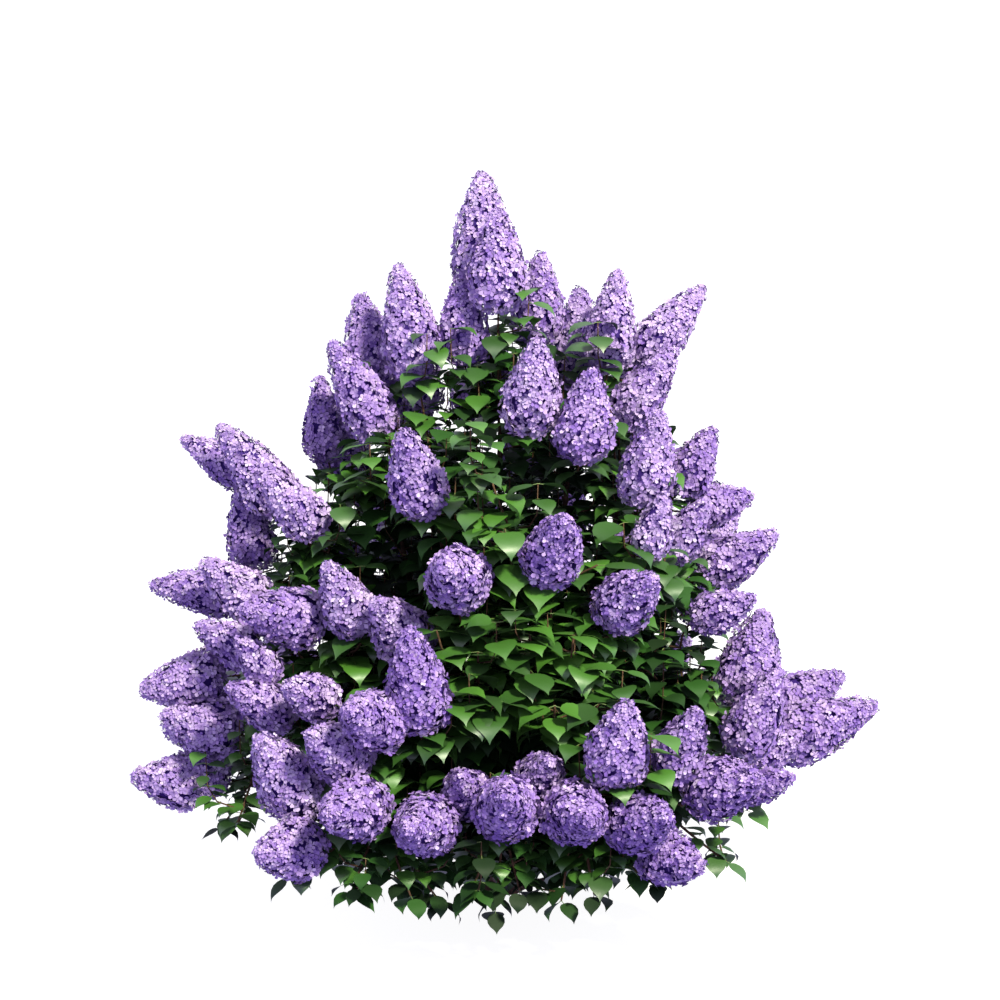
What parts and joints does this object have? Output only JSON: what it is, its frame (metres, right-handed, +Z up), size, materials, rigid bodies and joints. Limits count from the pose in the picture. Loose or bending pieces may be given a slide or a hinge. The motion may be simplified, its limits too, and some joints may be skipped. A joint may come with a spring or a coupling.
{
  "type": "panicle hydrangea shrub",
  "caption": "Panicle hydrangea shrub in full bloom: a low woody crown, arching canes and masses of leafy shoots that end in lilac cone-shaped flower heads.",
  "frame": {"origin": "middle of the flat cut under the woody crown, at ground level", "axes": "+Z up along the plant, +X to the right and -Y to the front as the picture shows it"},
  "size_m": [1.65, 1.6767, 1.61],
  "materials": {
    "bark": "dull, fissured brown bark",
    "foliage": "satin mid-green leaves on tan twigs",
    "blossom": "soft matt lilac sepals over mid-green leaves"
  },
  "bodies": {
    "root": {"root_crown": "bark", "cane_top": "bark", "cane_upper_right": "bark", "cane_shoulder_right": "bark", "cane_upper_left": "bark", "cane_shoulder_left": "bark", "cane_wing_right": "bark", "cane_wing_left": "bark", "cane_side_left": "bark", "cane_low_left": "bark", "cane_middle_left": "bark", "cane_front_left": "bark", "cane_low_front_left": "bark", "cane_front": "bark", "cane_low_front_right": "bark", "cane_front_right": "bark", "cane_side_right": "bark", "cane_low_right": "bark", "cane_front_high": "bark", "cane_leaf_wall_left": "bark", "cane_leaf_wall_right": "bark", "cane_low_back_1": "bark", "cane_low_back_2": "bark", "cane_low_back_3": "bark", "cane_low_back_4": "bark", "cane_middle_back_1": "bark", "cane_middle_back_2": "bark", "cane_middle_back_3": "bark", "cane_upper_back_1": "bark", "cane_upper_back_2": "bark", "foliage_top": "blossom", "foliage_upper_right": "blossom", "foliage_shoulder_right": "blossom", "foliage_upper_left": "blossom", "foliage_shoulder_left": "blossom", "foliage_wing_right": "blossom", "foliage_wing_left": "blossom", "foliage_side_left": "blossom", "foliage_low_left": "blossom", "foliage_middle_left": "blossom", "foliage_front_left": "blossom", "foliage_low_front_left": "blossom", "foliage_front": "blossom", "foliage_low_front_right": "blossom", "foliage_front_right": "blossom", "foliage_side_right": "blossom", "foliage_low_right": "blossom", "foliage_front_high": "blossom", "foliage_leaf_wall_left": "foliage", "foliage_leaf_wall_right": "foliage", "foliage_low_back_1": "blossom", "foliage_low_back_2": "blossom", "foliage_low_back_3": "blossom", "foliage_low_back_4": "blossom", "foliage_middle_back_1": "blossom", "foliage_middle_back_2": "blossom", "foliage_middle_back_3": "blossom", "foliage_upper_back_1": "blossom", "foliage_upper_back_2": "blossom"}
  },
  "joints": []
}
